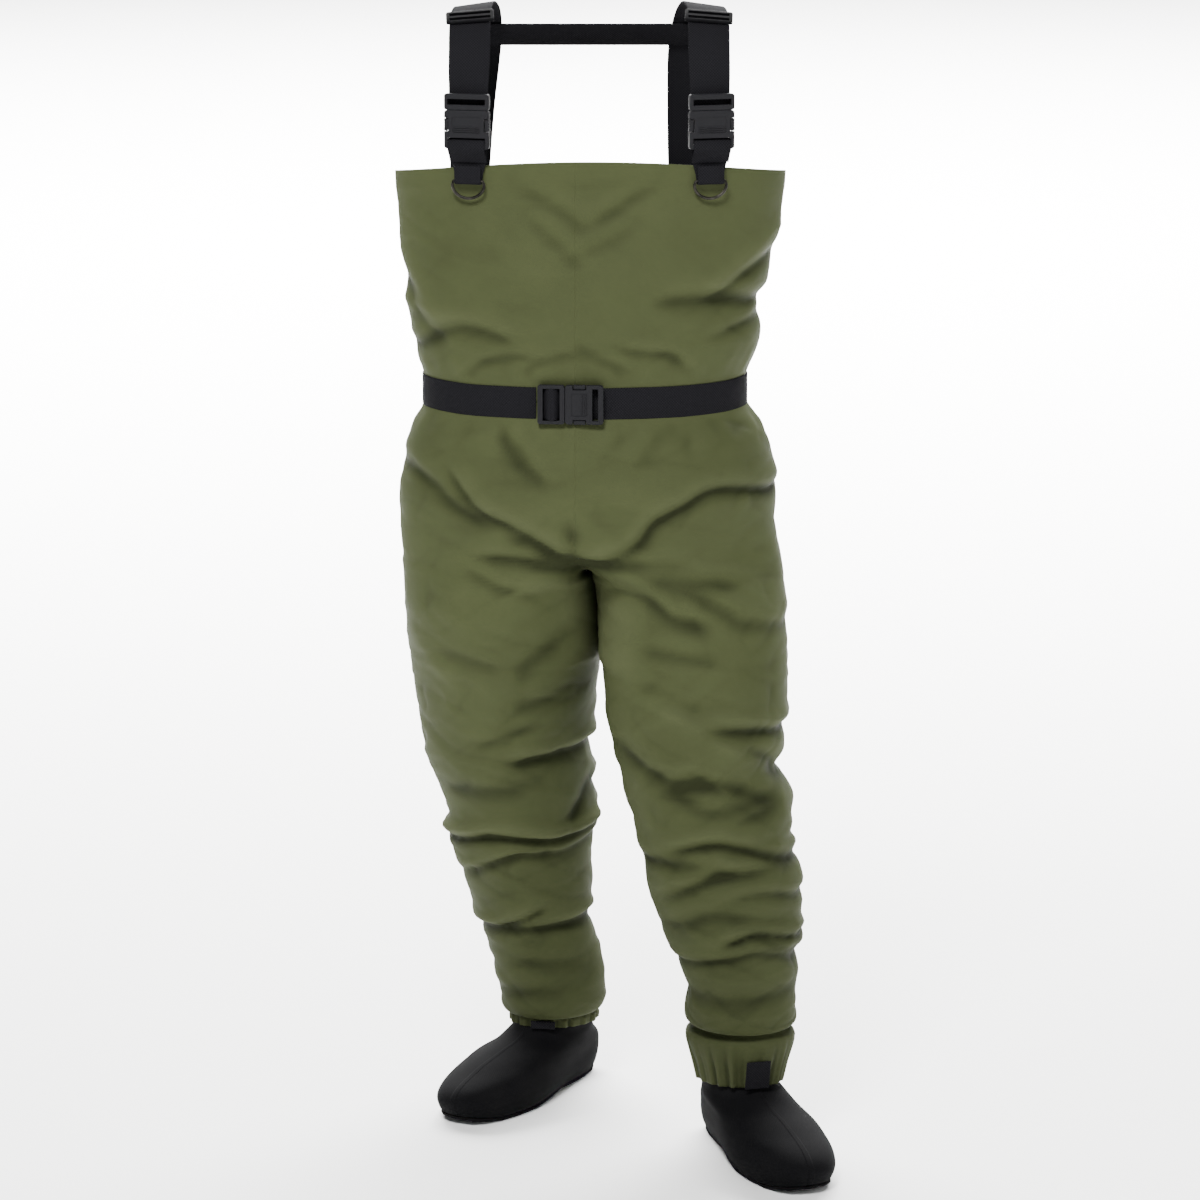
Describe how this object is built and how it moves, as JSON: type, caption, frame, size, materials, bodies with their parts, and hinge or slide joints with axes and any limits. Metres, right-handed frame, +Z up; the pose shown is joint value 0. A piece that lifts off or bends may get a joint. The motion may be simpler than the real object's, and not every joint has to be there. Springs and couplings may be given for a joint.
{
  "type": "chest waders",
  "caption": "Olive stocking-foot chest waders with bib top, black neoprene feet, gathered gravel guards, webbing belt and buckled suspenders.",
  "frame": {"origin": "on the floor, under the middle of the bounding box, with the waders standing on their soles", "axes": "+Z up the body, -Y the way the wearer faces, +X to the wearer's left hand"},
  "size_m": [0.523, 0.564, 1.3563],
  "materials": {
    "olive_fabric": "matt coated nylon",
    "neoprene": "matt fabric-faced neoprene",
    "webbing": "woven polyester",
    "buckle_plastic": "satin moulded",
    "ring_metal": "dark plated"
  },
  "bodies": {
    "waders": {"shell": "olive_fabric", "gravel_guard_left": "olive_fabric", "gravel_guard_right": "olive_fabric", "sock_upper_left": "neoprene", "sock_upper_right": "neoprene", "sole_left": "neoprene", "sole_right": "neoprene", "belt_webbing": "webbing", "anchor_tab_left": "webbing", "anchor_tab_right": "webbing", "strap_left": "webbing", "strap_right": "webbing", "cross_strap": "webbing", "guard_tab_left": "webbing", "guard_tab_right": "webbing", "belt_buckle_socket": "buckle_plastic", "belt_buckle_plug": "buckle_plastic", "strap_buckle_left_socket": "buckle_plastic", "strap_buckle_left_plug": "buckle_plastic", "strap_buckle_right_socket": "buckle_plastic", "strap_buckle_right_plug": "buckle_plastic", "strap_adjuster_left": "buckle_plastic", "strap_adjuster_right": "buckle_plastic"},
    "d_ring_left": {"d_ring_left": "ring_metal"},
    "d_ring_right": {"d_ring_right": "ring_metal"}
  },
  "joints": [
    {"name": "d_ring_left_swing", "type": "hinge", "parent": "waders", "child": "d_ring_left", "pos_m": [-0.17114, -0.0305, 1.155], "axis": [-0.9624, 0.2718, 0], "range_deg": [0, 150]},
    {"name": "d_ring_right_swing", "type": "hinge", "parent": "waders", "child": "d_ring_right", "pos_m": [0.1105, -0.03084, 1.155], "axis": [-0.9648, -0.2628, 0], "range_deg": [0, 150]}
  ]
}
